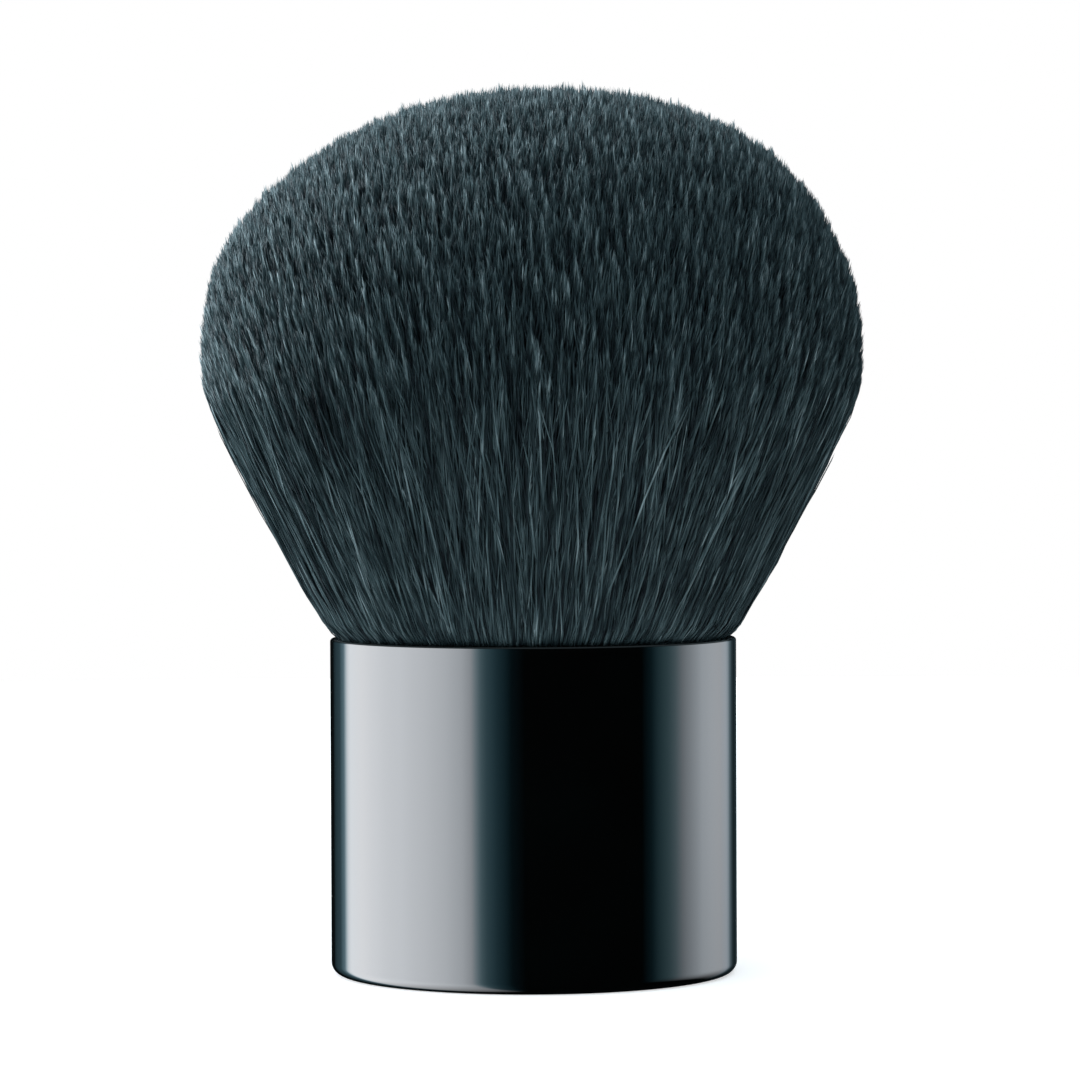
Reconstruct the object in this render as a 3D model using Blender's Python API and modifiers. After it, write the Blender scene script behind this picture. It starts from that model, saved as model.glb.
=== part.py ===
"""Kabuki brush: a wide dome of hair glued into a short drawn-metal barrel.

Lengths are in metres and +Z is up. The origin is the centre of the flat ring that the brush stands on.
From the foot upwards the barrel holds a foam pad, a plastic insert with a steel ballast in it, and then the
head: a knot of hair tied with thread, bonded with resin into a crimped ring.
"""

import math
import random

import bmesh
import bpy

# Fits shared by several pieces
SEAT_GAP = 0.0003
MERGE_DISTANCE = 0.00001
BARREL_STEPS = 72
INNER_STEPS = 48
ARC_STEPS = 4
SMOOTH_ANGLE = math.radians(35)

# Barrel: a deep-drawn aluminium can, open at the top
BARREL_RADIUS = 0.0160
BARREL_HEIGHT = 0.0264
BARREL_WALL = 0.0005
BARREL_FLOOR = 0.0008
FOOT_ROUND = 0.0012
FOOT_WIDTH = 0.0022
BASE_RECESS = 0.0004
RECESS_SLOPE = 0.0006

# Foam pad that fixes the insert to the barrel's floor
PAD_RADIUS = 0.0110
PAD_THICKNESS = 0.0008

# Moulded insert that fills the lower barrel
INSERT_FLOOR = 0.0012
INSERT_WALL = 0.0018
INSERT_EDGE_ROUND = 0.0005
INSERT_VENT_RADIUS = 0.0020
CRUSH_RIBS = 8
CRUSH_RIB_RADIUS = 0.0008
CRUSH_RIB_HEIGHT = 0.0004
LOCATING_RIBS = 4
LOCATING_RIB_RADIUS = 0.0009
LOCATING_RIB_HEIGHT = 0.0012
RIB_SEGMENTS = 12

# Steel ballast that fills the insert
BALLAST_HEADROOM = 0.0004
BALLAST_CHAMFER = 0.0005
BALLAST_HOLE_RADIUS = 0.0016

# Crimped ring round the tied knot
FERRULE_WALL = 0.0004
FERRULE_BELOW_RIM = 0.0016
CRIMP_DEPTH = 0.0005
CRIMP_WIDTH = 0.0024
CRIMP_ABOVE_FOOT = 0.0036
CRIMP_STEPS = 4

# Cured resin under and round the knot
RESIN_FLOOR = 0.0020
RESIN_WALL = 0.0013

# Thread wound round the knot's waist
THREAD_DIAMETER = 0.0005
THREAD_PITCH = 0.0010
THREAD_TURNS = 4
THREAD_POINTS_PER_TURN = 24

# Knot: the bonded and tied root of the hair
KNOT_BELOW_RIM = 0.0020
KNOT_SLICE = 0.0026
KNOT_BUTT = 0.0006

# Head of hair: the fan of the flank and the dome of the tips, measured up from the rim
FLANK_RIM_ANGLE = math.radians(33.5)
FLANK_TOP_ANGLE = math.radians(22.7)
FLANK_HEIGHT = 0.0192
DOME_RADIUS = 0.0260
DOME_CENTRE_HEIGHT = 0.0230
DOME_CROWN_HEIGHT = 0.0206
DOME_POWER = 2.2
CROWN_LEAN = 0.0015
CROWN_LEAN_POWER = 6
STRAND_LAYERS = 8
STRAND_GAP = 0.0003
STRAND_SWIRL = math.radians(24)
STRAND_JITTER_SHARE = 0.22
STRAND_LEVEL_SHARES = (0.50, 0.88)
STRAND_FILL_SHARES = (0.97, 0.84)
STRAND_LENGTH_SPREAD = 0.0005
TIP_SEARCH_STEPS = 40
HAIR_SEED = 7

# Places worked out from the sizes above
RIM_Z = BARREL_HEIGHT
BARREL_BORE = BARREL_RADIUS - BARREL_WALL
BARREL_FLOOR_Z = BASE_RECESS + BARREL_FLOOR
PAD_Z = BARREL_FLOOR_Z + SEAT_GAP
INSERT_Z = PAD_Z + PAD_THICKNESS + SEAT_GAP
FERRULE_RADIUS = BARREL_BORE - SEAT_GAP
FERRULE_BORE = FERRULE_RADIUS - FERRULE_WALL
FERRULE_TOP_Z = RIM_Z - FERRULE_BELOW_RIM
RESIN_RADIUS = FERRULE_BORE - SEAT_GAP
RESIN_BORE = RESIN_RADIUS - RESIN_WALL
THREAD_RADIUS = THREAD_DIAMETER / 2
THREAD_COIL_RADIUS = RESIN_BORE - SEAT_GAP - THREAD_RADIUS
KNOT_BUTT_RADIUS = RESIN_BORE - SEAT_GAP
KNOT_WAIST_RADIUS = THREAD_COIL_RADIUS - THREAD_RADIUS - SEAT_GAP
KNOT_WAIST = THREAD_TURNS * THREAD_PITCH + THREAD_DIAMETER + 2 * SEAT_GAP
KNOT_TOP_Z = RIM_Z - KNOT_BELOW_RIM
KNOT_SLICE_Z = KNOT_TOP_Z - KNOT_SLICE
KNOT_WAIST_Z = KNOT_SLICE_Z - KNOT_WAIST
KNOT_Z = KNOT_WAIST_Z - KNOT_BUTT
THREAD_Z = KNOT_WAIST_Z + SEAT_GAP + THREAD_RADIUS
RESIN_TOP_Z = KNOT_SLICE_Z - SEAT_GAP
RESIN_FLOOR_Z = KNOT_Z - SEAT_GAP
FERRULE_Z = RESIN_FLOOR_Z - RESIN_FLOOR
CRIMP_Z = FERRULE_Z + CRIMP_ABOVE_FOOT
INSERT_TOP_Z = FERRULE_Z - SEAT_GAP
INSERT_RADIUS = FERRULE_RADIUS - CRUSH_RIB_HEIGHT
INSERT_BORE = INSERT_RADIUS - INSERT_WALL
BALLAST_Z = INSERT_Z + INSERT_FLOOR + SEAT_GAP
BALLAST_TOP_Z = INSERT_TOP_Z - BALLAST_HEADROOM
BALLAST_RADIUS = INSERT_BORE - LOCATING_RIB_HEIGHT - SEAT_GAP
HAIR_RIM_RADIUS = BARREL_BORE - SEAT_GAP
CROWN_HEIGHT = DOME_CENTRE_HEIGHT + DOME_CROWN_HEIGHT


def clear_scene():
    for obj in list(bpy.data.objects):
        bpy.data.objects.remove(obj)


def new_collection(name):
    collection = bpy.data.collections.new(name)
    bpy.context.scene.collection.children.link(collection)
    return collection


def finish(name, color, roughness, metallic):
    """A Principled material in the piece's own colour."""
    material = bpy.data.materials.new(name)
    material.use_nodes = True
    shader = material.node_tree.nodes["Principled BSDF"]
    shader.inputs["Base Color"].default_value = (*color, 1.0)
    shader.inputs["Roughness"].default_value = roughness
    shader.inputs["Metallic"].default_value = metallic
    return material


def add_object(name, data, material, collection):
    obj = bpy.data.objects.new(name, data)
    data.materials.append(material)
    collection.objects.link(obj)
    return obj


def arc(centre_radius, centre_height, radius, start, end):
    """Points of a round corner in a turned profile, from one angle to another, in degrees from +X."""
    points = []
    for step in range(ARC_STEPS + 1):
        angle = math.radians(start + (end - start) * step / ARC_STEPS)
        points.append((centre_radius + radius * math.cos(angle), centre_height + radius * math.sin(angle)))
    return points


def turn(name, profile, steps, material, collection, is_ring=False):
    """Turns an outline of (radius, height) points about the axis.

    The outline runs over the top and then down the outer side. It starts and ends on the axis, unless it is
    a closed ring round a bore.
    """
    edges = [(i, i + 1) for i in range(len(profile) - 1)]
    if is_ring:
        edges.append((len(profile) - 1, 0))
    mesh = bpy.data.meshes.new(name)
    mesh.from_pydata([(radius, 0.0, height) for radius, height in profile], edges, [])
    obj = add_object(name, mesh, material, collection)
    screw = obj.modifiers.new("turn", "SCREW")
    screw.axis = "Z"
    screw.angle = 2 * math.pi
    screw.steps = steps
    screw.render_steps = steps
    screw.use_merge_vertices = True
    screw.merge_threshold = MERGE_DISTANCE
    return obj


def shade_round(obj):
    """Replaces the object's modifiers by the mesh they make, shaded smooth up to its sharp edges."""
    graph = bpy.context.evaluated_depsgraph_get()
    mesh = bpy.data.meshes.new_from_object(obj.evaluated_get(graph))
    obj.modifiers.clear()
    obj.data = mesh
    mesh.shade_smooth()
    mesh.set_sharp_from_angle(angle=SMOOTH_ANGLE)


def make_outer_barrel(collection):
    """The can: straight wall, full-round rim, round foot and a base panel pushed in so it stands on a ring."""
    material = finish("black_lacquer", (0.004, 0.005, 0.006), 0.12, 0.0)
    rim_round = BARREL_WALL / 2
    inner_round = FOOT_ROUND - BARREL_WALL
    recess_radius = BARREL_RADIUS - FOOT_ROUND - FOOT_WIDTH
    panel_radius = recess_radius - RECESS_SLOPE
    profile = [(0.0, BARREL_FLOOR_Z), (panel_radius, BARREL_FLOOR_Z), (recess_radius, BARREL_FLOOR)]
    profile += arc(BARREL_BORE - inner_round, BARREL_FLOOR + inner_round, inner_round, -90, 0)
    profile += arc(BARREL_RADIUS - rim_round, RIM_Z - rim_round, rim_round, 180, 0)
    profile += arc(BARREL_RADIUS - FOOT_ROUND, FOOT_ROUND, FOOT_ROUND, 0, -90)
    profile += [(recess_radius, 0.0), (panel_radius, BASE_RECESS), (0.0, BASE_RECESS)]
    return turn("outer_barrel", profile, BARREL_STEPS, material, collection)


def make_base_pad(collection):
    """Die-cut disc of double-sided foam."""
    material = finish("foam_tape", (0.62, 0.60, 0.55), 0.9, 0.0)
    top = PAD_Z + PAD_THICKNESS
    profile = [(0.0, top), (PAD_RADIUS, top), (PAD_RADIUS, PAD_Z), (0.0, PAD_Z)]
    return turn("base_pad", profile, INNER_STEPS, material, collection)


def make_rib_guide(name, count, at_radius, rib_radius, bottom, top, collection):
    """Round posts standing in a ring, as one hidden mesh that a wall is joined with."""
    bm = bmesh.new()
    for index in range(count):
        angle = 2 * math.pi * index / count
        post = bmesh.ops.create_cone(
            bm,
            cap_ends=True,
            segments=RIB_SEGMENTS,
            radius1=rib_radius,
            radius2=rib_radius,
            depth=top - bottom,
        )
        place = (at_radius * math.cos(angle), at_radius * math.sin(angle), (top + bottom) / 2)
        bmesh.ops.translate(bm, verts=post["verts"], vec=place)
    mesh = bpy.data.meshes.new(name)
    bm.to_mesh(mesh)
    bm.free()
    guide = bpy.data.objects.new(name, mesh)
    collection.objects.link(guide)
    guide.hide_render = True
    guide.display_type = "WIRE"
    return guide


def join_guide(obj, guide):
    join = obj.modifiers.new("join_" + guide.name, "BOOLEAN")
    join.operation = "UNION"
    join.object = guide


def make_core_insert(collection, guides):
    """Moulded cup with crush ribs outside, which grip the can, and ribs inside, which centre the ballast."""
    material = finish("grey_abs", (0.10, 0.10, 0.10), 0.6, 0.0)
    floor_top = INSERT_Z + INSERT_FLOOR
    edge = INSERT_RADIUS - INSERT_EDGE_ROUND
    profile = [(INSERT_VENT_RADIUS, floor_top), (INSERT_BORE, floor_top), (INSERT_BORE, INSERT_TOP_Z)]
    profile += arc(edge, INSERT_TOP_Z - INSERT_EDGE_ROUND, INSERT_EDGE_ROUND, 90, 0)
    profile += arc(edge, INSERT_Z + INSERT_EDGE_ROUND, INSERT_EDGE_ROUND, 0, -90)
    profile += [(INSERT_VENT_RADIUS, INSERT_Z)]
    insert = turn("core_insert", profile, INNER_STEPS, material, collection, is_ring=True)
    crush_ribs = make_rib_guide(
        "crush_rib_guide",
        CRUSH_RIBS,
        FERRULE_RADIUS - CRUSH_RIB_RADIUS,
        CRUSH_RIB_RADIUS,
        INSERT_Z + INSERT_EDGE_ROUND,
        INSERT_TOP_Z - INSERT_EDGE_ROUND,
        guides,
    )
    locating_ribs = make_rib_guide(
        "locating_rib_guide",
        LOCATING_RIBS,
        INSERT_BORE - LOCATING_RIB_HEIGHT + LOCATING_RIB_RADIUS,
        LOCATING_RIB_RADIUS,
        floor_top - INSERT_FLOOR / 2,
        INSERT_TOP_Z - INSERT_EDGE_ROUND,
        guides,
    )
    join_guide(insert, crush_ribs)
    join_guide(insert, locating_ribs)
    return insert


def make_ballast_weight(collection):
    """Steel slug with chamfered edges and a through hole."""
    material = finish("zinc_plated_steel", (0.55, 0.56, 0.58), 0.35, 1.0)
    edge = BALLAST_RADIUS - BALLAST_CHAMFER
    profile = [
        (BALLAST_HOLE_RADIUS, BALLAST_TOP_Z),
        (edge, BALLAST_TOP_Z),
        (BALLAST_RADIUS, BALLAST_TOP_Z - BALLAST_CHAMFER),
        (BALLAST_RADIUS, BALLAST_Z + BALLAST_CHAMFER),
        (edge, BALLAST_Z),
        (BALLAST_HOLE_RADIUS, BALLAST_Z),
    ]
    return turn("ballast_weight", profile, INNER_STEPS, material, collection, is_ring=True)


def crimped_wall(radius, bottom, top):
    """Points up a wall that the crimp pushes inwards by a cosine wave."""
    points = [(radius, bottom)]
    for step in range(CRIMP_STEPS + 1):
        across = step / CRIMP_STEPS
        depth = CRIMP_DEPTH * (1 - math.cos(2 * math.pi * across)) / 2
        points.append((radius - depth, CRIMP_Z + CRIMP_WIDTH * (across - 0.5)))
    points.append((radius, top))
    return points


def make_knot_ferrule(collection):
    """Thin ring rolled round the knot, with one crimp that keeps the resin from sliding out."""
    material = finish("bare_aluminium", (0.75, 0.76, 0.77), 0.3, 1.0)
    inner = crimped_wall(FERRULE_BORE, FERRULE_Z, FERRULE_TOP_Z)
    outer = crimped_wall(FERRULE_RADIUS, FERRULE_Z, FERRULE_TOP_Z)
    return turn("knot_ferrule", inner + outer[::-1], INNER_STEPS, material, collection, is_ring=True)


def make_resin_plug(collection):
    """Cured resin: a cup round the knot that has set into the ring's crimp."""
    material = finish("amber_epoxy", (0.45, 0.30, 0.12), 0.25, 0.0)
    outer = crimped_wall(RESIN_RADIUS, FERRULE_Z, RESIN_TOP_Z)
    profile = [(0.0, RESIN_FLOOR_Z), (RESIN_BORE, RESIN_FLOOR_Z), (RESIN_BORE, RESIN_TOP_Z)]
    profile += outer[::-1] + [(0.0, FERRULE_Z)]
    return turn("resin_plug", profile, INNER_STEPS, material, collection)


def least_gap(points, diameter):
    """Smallest clear space between turns of a wound tube, measured between points one turn apart."""
    turn_apart = zip(points, points[THREAD_POINTS_PER_TURN:])
    return min(math.dist(a, b) for a, b in turn_apart) - diameter


def make_binding_thread(collection):
    """One unbroken thread wound round the knot's waist."""
    material = finish("nylon_thread", (0.70, 0.68, 0.62), 0.5, 0.0)
    points = []
    for step in range(THREAD_TURNS * THREAD_POINTS_PER_TURN + 1):
        turns = step / THREAD_POINTS_PER_TURN
        angle = 2 * math.pi * turns
        x = THREAD_COIL_RADIUS * math.cos(angle)
        y = THREAD_COIL_RADIUS * math.sin(angle)
        points.append((x, y, THREAD_Z + THREAD_PITCH * turns))
    curve = bpy.data.curves.new("binding_thread", "CURVE")
    curve.dimensions = "3D"
    spline = curve.splines.new("POLY")
    spline.points.add(len(points) - 1)
    for point, place in zip(spline.points, points):
        point.co = (*place, 1.0)
    curve.bevel_depth = THREAD_RADIUS
    curve.bevel_resolution = 0
    curve.use_fill_caps = True
    print(f"binding_thread: least gap between turns {least_gap(points, THREAD_DIAMETER) * 1000:.2f} mm")
    return add_object("binding_thread", curve, material, collection)


def fan_radius(height):
    """Radius of the outermost hair at a height above the rim: it leaves at one slope and eases to another."""
    rim_slope = math.tan(FLANK_RIM_ANGLE)
    easing = (rim_slope - math.tan(FLANK_TOP_ANGLE)) / (2 * FLANK_HEIGHT)
    return HAIR_RIM_RADIUS + rim_slope * height - easing * height**2


def root_radius():
    """Radius of the disc that the strands grow from, inside the ring."""
    return min(fan_radius(-KNOT_BELOW_RIM), FERRULE_BORE - SEAT_GAP)


def dome_radius(height):
    """Radius of the surface that the tips are trimmed to, a little squarer than an ellipse."""
    rise = abs(height - DOME_CENTRE_HEIGHT) / DOME_CROWN_HEIGHT
    return DOME_RADIUS * max(0.0, 1 - rise**DOME_POWER) ** (1 / DOME_POWER)


def tip_height(share):
    """Height above the rim at which a strand, rooted at this share of the root's radius, meets the dome.

    No strand ends lower than the flank does.
    """
    low = FLANK_HEIGHT
    high = CROWN_HEIGHT
    for _ in range(TIP_SEARCH_STEPS):
        middle = (low + high) / 2
        if share * fan_radius(middle) < dome_radius(middle):
            low = middle
        else:
            high = middle
    return low


def crown_lean(height):
    """Sideways lean, which only the top of the dome has."""
    return CROWN_LEAN * max(0.0, height / CROWN_HEIGHT) ** CROWN_LEAN_POWER


def round_the_hexagon(bm):
    """Moves a hexagon's grid of triangles onto evenly divided rings of the unit disc, and swirls them.

    The hexagon has a corner on the Y axis, so the middles of its sides are at 0, 60, 120 degrees and so on.
    The swirl bends the straight lines of the grid, so that no slit between strands can be seen through.
    """
    sector = math.pi / 3
    for vert in bm.verts:
        angle = math.atan2(vert.co.y, vert.co.x)
        off_middle = (angle + sector / 2) % sector - sector / 2
        radius = vert.co.length * math.cos(off_middle) / math.cos(sector / 2)
        even = sector / 2 * math.tan(off_middle) / math.tan(sector / 2)
        swirled = angle - off_middle + even + STRAND_SWIRL * radius
        vert.co.x = radius * math.cos(swirled)
        vert.co.y = radius * math.sin(swirled)


def jitter_the_grid(bm, random_source):
    """Shifts each corner inside the unit disc a little, so that the strands differ in size."""
    reach = STRAND_JITTER_SHARE / STRAND_LAYERS
    for vert in bm.verts:
        angle = 2 * math.pi * random_source.random()
        distance = reach * math.sqrt(random_source.random())
        if not vert.is_boundary:
            vert.co.x += distance * math.cos(angle)
            vert.co.y += distance * math.sin(angle)


def knot_outline():
    """Rings down the side of the bonded root: the slice, a step in to the tied waist, and the butt end."""
    slice_radius = FERRULE_BORE - SEAT_GAP
    slice_shoulder = slice_radius - root_radius()
    return [
        (slice_radius, KNOT_TOP_Z - slice_shoulder),
        (slice_radius, KNOT_SLICE_Z),
        (KNOT_WAIST_RADIUS, KNOT_SLICE_Z),
        (KNOT_WAIST_RADIUS, KNOT_WAIST_Z),
        (KNOT_BUTT_RADIUS, KNOT_WAIST_Z),
        (KNOT_BUTT_RADIUS, KNOT_Z),
    ]


def add_knot(bm):
    """Draws the disc's edge down into the bonded root and closes it underneath."""
    edges = [edge for edge in bm.edges if edge.is_boundary]
    for radius, height in knot_outline():
        made = bmesh.ops.extrude_edge_only(bm, edges=edges)["geom"]
        edges = [item for item in made if isinstance(item, bmesh.types.BMEdge) and item.is_boundary]
        for vert in {vert for edge in edges for vert in edge.verts}:
            across = math.hypot(vert.co.x, vert.co.y)
            vert.co = (vert.co.x * radius / across, vert.co.y * radius / across, height)
    bmesh.ops.edgeloop_fill(bm, edges=edges)


def grow_strand(bm, face, shortening):
    """Extrudes one three-sided strand from its base face, along the fan, to a point on the dome."""
    base_radius = root_radius()
    root = face.calc_center_median()
    tip = tip_height(math.hypot(root.x, root.y) / base_radius) - shortening
    sides = [vert.co - root for vert in face.verts]
    for level, fill in zip(STRAND_LEVEL_SHARES, STRAND_FILL_SHARES):
        height = (tip + KNOT_BELOW_RIM) * level - KNOT_BELOW_RIM
        spread = fan_radius(height) / base_radius
        face = bmesh.ops.extrude_discrete_faces(bm, faces=[face])["faces"][0]
        for vert, side in zip(face.verts, sides):
            vert.co.x = spread * (root.x + side.x * fill) + crown_lean(height)
            vert.co.y = spread * (root.y + side.y * fill)
            vert.co.z = RIM_Z + height
    spread = fan_radius(tip) / base_radius
    point = bmesh.ops.poke(bm, faces=[face])["verts"][0]
    point.co = (spread * root.x + crown_lean(tip), spread * root.y, RIM_Z + tip)


def make_hair_bundle(collection):
    """Hundreds of tapered strands that fan out without crossing, fused to the slice of bonded roots."""
    material = finish("black_hair", (0.020, 0.027, 0.031), 0.5, 0.0)
    random_source = random.Random(HAIR_SEED)
    bm = bmesh.new()
    bmesh.ops.create_circle(bm, cap_ends=True, cap_tris=True, segments=6, radius=1.0)
    bmesh.ops.subdivide_edges(bm, edges=bm.edges[:], cuts=STRAND_LAYERS - 1, use_grid_fill=True)
    round_the_hexagon(bm)
    jitter_the_grid(bm, random_source)
    for vert in bm.verts:
        vert.co = (vert.co.x * root_radius(), vert.co.y * root_radius(), KNOT_TOP_Z)
    bases = bm.faces[:]
    add_knot(bm)
    bmesh.ops.inset_individual(bm, faces=bases, thickness=STRAND_GAP / 2, use_even_offset=True)
    for base in bases:
        grow_strand(bm, base, STRAND_LENGTH_SPREAD * random_source.random())
    bmesh.ops.recalc_face_normals(bm, faces=bm.faces[:])
    mesh = bpy.data.meshes.new("hair_bundle")
    bm.to_mesh(mesh)
    bm.free()
    print(f"hair_bundle: {len(bases)} strands")
    return add_object("hair_bundle", mesh, material, collection)


def main():
    clear_scene()
    brush = new_collection("kabuki_brush")
    guides = new_collection("rib_guides")
    turned = [
        make_outer_barrel(brush),
        make_base_pad(brush),
        make_core_insert(brush, guides),
        make_ballast_weight(brush),
        make_knot_ferrule(brush),
        make_resin_plug(brush),
    ]
    make_binding_thread(brush)
    make_hair_bundle(brush)
    for obj in turned:
        shade_round(obj)


main()
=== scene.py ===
# %% [markdown]
# # A kabuki brush
#
# The brush is short and wide: a dome of black hair that is glued into a gloss black metal barrel. The
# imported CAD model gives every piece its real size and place, and this script dresses it. The barrel is
# turned again with a finer outline, the head is grown hair by hair, and each piece gets the finish of its
# real material. Lengths are in metres and +Z is up, as in the frame.

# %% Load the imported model
import math

import bpy
import numpy as np
from mathutils import Matrix, Vector


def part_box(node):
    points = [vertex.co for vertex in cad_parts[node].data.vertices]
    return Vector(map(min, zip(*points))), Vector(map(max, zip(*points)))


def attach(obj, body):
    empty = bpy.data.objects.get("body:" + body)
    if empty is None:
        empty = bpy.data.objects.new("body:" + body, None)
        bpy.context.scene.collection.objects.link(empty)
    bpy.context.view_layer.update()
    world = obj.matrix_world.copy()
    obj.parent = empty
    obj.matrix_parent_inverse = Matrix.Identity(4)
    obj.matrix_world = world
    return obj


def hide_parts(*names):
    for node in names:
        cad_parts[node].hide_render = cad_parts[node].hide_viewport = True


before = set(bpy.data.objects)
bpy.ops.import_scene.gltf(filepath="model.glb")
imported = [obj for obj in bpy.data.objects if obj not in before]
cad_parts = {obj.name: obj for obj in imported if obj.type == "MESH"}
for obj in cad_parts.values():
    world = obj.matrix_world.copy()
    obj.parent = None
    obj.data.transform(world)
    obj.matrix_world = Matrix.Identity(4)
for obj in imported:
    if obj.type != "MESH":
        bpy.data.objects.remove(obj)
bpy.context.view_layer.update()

MM = 0.001

# %% [markdown]
# ## The camera
#
# The photograph was taken with a long lens, almost level with the brush. Two facts fix the camera: how
# much the round edges at the rim and at the foot bow, which gives its height and distance, and how large
# the barrel is in the picture, which gives the lens. The brush leans about a quarter of a degree in the
# picture, so the camera is rolled by that much.

# %% Place the camera
PHOTO_WIDTH = 1080
FOCAL_LENGTH_PX = 4376
AXIS_X_PX = 532.7
SENSOR_WIDTH_MM = 36.0
CAMERA_DISTANCE = 345 * MM
CAMERA_HEIGHT = 41 * MM
CAMERA_PITCH = math.radians(1.153)
CAMERA_ROLL = math.radians(-0.22)

camera_data = bpy.data.cameras.new("camera")
camera_data.sensor_width = SENSOR_WIDTH_MM
camera_data.lens = FOCAL_LENGTH_PX / PHOTO_WIDTH * SENSOR_WIDTH_MM
camera_data.clip_start = 10 * MM
camera = bpy.data.objects.new("camera", camera_data)
bpy.context.scene.collection.objects.link(camera)
camera_x = (PHOTO_WIDTH / 2 - AXIS_X_PX) / FOCAL_LENGTH_PX * CAMERA_DISTANCE
tilt = Matrix.Rotation(math.pi / 2 - CAMERA_PITCH, 3, "X") @ Matrix.Rotation(CAMERA_ROLL, 3, "Z")
camera.location = (camera_x, -CAMERA_DISTANCE, CAMERA_HEIGHT)
camera.rotation_euler = tilt.to_euler()
bpy.context.scene.camera = camera
print(f"lens {camera_data.lens:.1f} mm at {CAMERA_DISTANCE / MM:.0f} mm")

# %% [markdown]
# ## Surfaces from arrays
#
# Every new piece is a set of points and faces that numpy works out as whole arrays. One function puts
# them into a Blender mesh. It can also store a number on each point, such as how far the point lies below
# the tip of its hair, which the materials read later.

# %% Put arrays into a mesh
SHARP_ANGLE = math.radians(40)


def add_piece(name, points, faces, material, values=None, corners_uv=None, sharp_angle=SHARP_ANGLE):
    """A mesh object at the origin. faces is a list of integer arrays with one row of corners to each face.

    values are the numbers that the points store, by name. corners_uv is the flat picture, corner by corner.
    """
    mesh = bpy.data.meshes.new(name)
    sizes = np.concatenate([np.full(len(rows), rows.shape[1]) for rows in faces])
    corners = np.concatenate([rows.ravel() for rows in faces])
    starts = np.concatenate([[0], np.cumsum(sizes)[:-1]])
    mesh.vertices.add(len(points))
    mesh.vertices.foreach_set("co", points.astype(np.float32).ravel())
    mesh.loops.add(len(corners))
    mesh.loops.foreach_set("vertex_index", corners.astype(np.int32))
    mesh.polygons.add(len(sizes))
    mesh.polygons.foreach_set("loop_start", starts.astype(np.int32))
    mesh.update(calc_edges=True)
    for key, numbers in (values or {}).items():
        attribute = mesh.attributes.new(key, "FLOAT", "POINT")
        attribute.data.foreach_set("value", numbers.astype(np.float32).ravel())
    if corners_uv is not None:
        layer = mesh.uv_layers.new(name="OFBake")
        layer.uv.foreach_set("vector", corners_uv.astype(np.float32).ravel())
    mesh.shade_smooth()
    mesh.set_sharp_from_angle(angle=sharp_angle)
    mesh.materials.append(material)
    piece = bpy.data.objects.new(name, mesh)
    bpy.context.scene.collection.objects.link(piece)
    print(f"{name}: {len(points)} points, {int((sizes - 2).sum())} triangles")
    return piece


def grid_quads(number):
    """Faces between the point numbers of a grid: two neighbours in a row and two in the next row."""
    corners = [number[:-1, :-1], number[1:, :-1], number[1:, 1:], number[:-1, 1:]]
    return np.stack(corners, axis=-1).reshape(-1, 4)


# %% [markdown]
# Most parts of a brush are round, and are drawn or turned. Their surface is a profile of (radius, height)
# points that goes round the axis. The last column of faces joins the first one again, so there is no open
# seam, and a profile that begins and ends on the axis is closed by a fan of triangles at each pole.

# %% Turn a profile about the axis
def round_corner(centre_radius, centre_height, radius, start, end, steps=10):
    """Points along an arc: the centre plus the radius times cosine and sine of angles in degrees."""
    angles = np.radians(np.linspace(start, end, steps + 1))
    return np.column_stack([centre_radius + radius * np.cos(angles), centre_height + radius * np.sin(angles)])


def straight(start, end, steps=12):
    """Points along a straight wall, closer together near its ends, so that its shading stays flat."""
    share = (1 - np.cos(np.linspace(0, np.pi, steps + 1))) / 2
    return np.outer(1 - share, start) + np.outer(share, end)


def turned_surface(profile, segments):
    """Each profile point (r, z) goes to (r cos a, r sin a, z) for every angle a round the axis.

    The profile starts on the axis, runs out and over the top, and comes down the outer side back to the axis.
    """
    ring = profile[1:-1]
    angles = 2 * np.pi * np.arange(segments) / segments
    x = np.outer(ring[:, 0], np.cos(angles))
    y = np.outer(ring[:, 0], np.sin(angles))
    z = np.outer(ring[:, 1], np.ones(segments))
    poles = np.array([[0, 0, profile[0, 1]], [0, 0, profile[-1, 1]]])
    points = np.concatenate([np.stack([x, y, z], axis=-1).reshape(-1, 3), poles])
    number = np.arange(len(ring) * segments).reshape(len(ring), segments)
    closed = np.column_stack([number, number[:, 0]])
    first, last = len(points) - 2, len(points) - 1
    top_fan = np.column_stack([np.full(segments, first), closed[0, :-1], closed[0, 1:]])
    bottom_fan = np.column_stack([np.full(segments, last), closed[-1, 1:], closed[-1, :-1]])
    return points, [grid_quads(closed), top_fan, bottom_fan]


# %% [markdown]
# ## Materials
#
# A material here is a Principled shader and a few nodes that draw the texture of the real surface.
# Colours are written as sRGB hex values, the way they are picked, and one function turns them into the
# linear values that the shader works with.

# %% Helpers for the materials
def linear(hex_colour):
    """sRGB hex to linear RGBA: each channel over 255, then the inverse of the sRGB curve."""
    channels = [int(hex_colour[place:place + 2], 16) / 255 for place in (1, 3, 5)]
    return (*[c / 12.92 if c <= 0.04045 else ((c + 0.055) / 1.055) ** 2.4 for c in channels], 1.0)


def new_material(name, roughness, metallic=0.0, ior=1.5):
    """A material with a bare Principled shader. What is the same all over is set on the shader's sockets."""
    material = bpy.data.materials.new(name)
    material.use_nodes = True
    shader = material.node_tree.nodes["Principled BSDF"]
    shader.inputs["Roughness"].default_value = roughness
    shader.inputs["Metallic"].default_value = metallic
    shader.inputs["IOR"].default_value = ior
    print(f"material {name}")
    return material


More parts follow.
